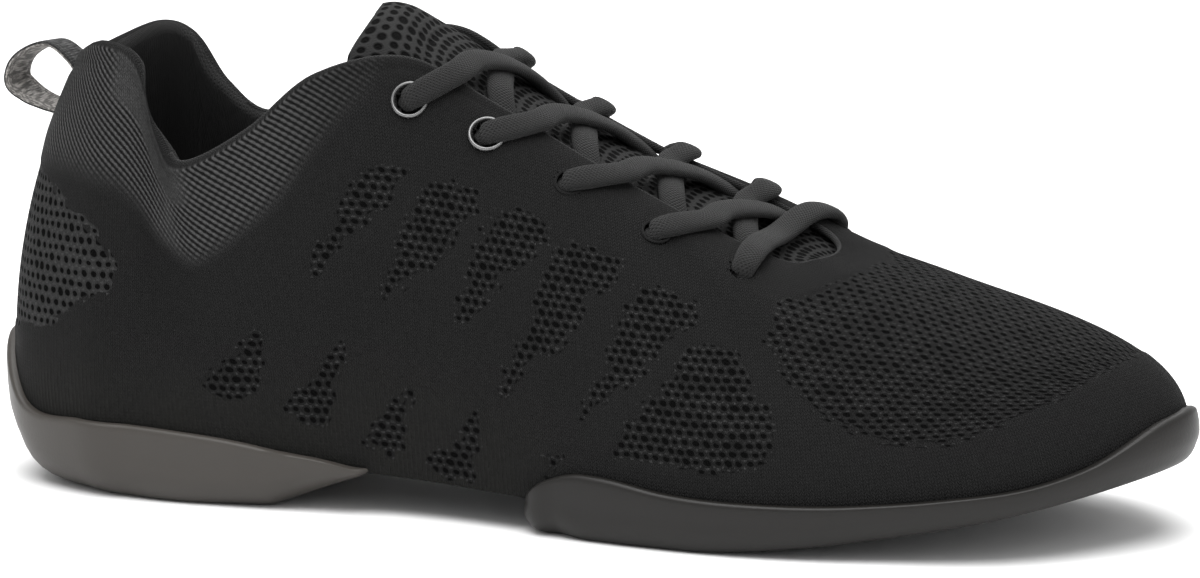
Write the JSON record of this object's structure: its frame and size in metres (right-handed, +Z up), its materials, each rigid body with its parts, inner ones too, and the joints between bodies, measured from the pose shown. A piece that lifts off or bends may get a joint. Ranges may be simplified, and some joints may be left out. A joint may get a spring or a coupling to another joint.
{
  "type": "dance sneaker",
  "caption": "Low knitted dance sneaker for a right foot, with a separate heel pad and forefoot pad, a padded collar, a raised tongue, laces and a heel pull loop.",
  "frame": {"origin": "on the floor, in the middle of the heel pad's flat underside", "axes": "+X towards the toe, +Z up, so the outer side of the foot is at -Y"},
  "size_m": [0.2843, 0.0968, 0.1119],
  "materials": {
    "knit": "matt black engineered knit with open mesh fields",
    "sole_rubber": "satin taupe-grey moulded rubber",
    "insole_cloth": "matt black lining cloth",
    "tongue_mesh": "coarse black spacer mesh",
    "loop_tape": "woven tape, black outside and grey inside",
    "eyelet_metal": "dark grey lacquered ring",
    "lace": "matt black-grey braided oval lace"
  },
  "bodies": {
    "root": {"upper": "knit", "heel_pad": "sole_rubber", "forefoot_pad": "sole_rubber", "insole": "insole_cloth", "tongue": "tongue_mesh", "pull_loop": "loop_tape", "eyelet_lateral_1": "eyelet_metal", "eyelet_medial_1": "eyelet_metal", "eyelet_lateral_2": "eyelet_metal", "eyelet_medial_2": "eyelet_metal", "lace_crossing_1": "lace", "lace_crossing_2": "lace", "lace_crossing_3": "lace", "lace_crossing_4": "lace", "lace_bar": "lace"}
  },
  "joints": []
}
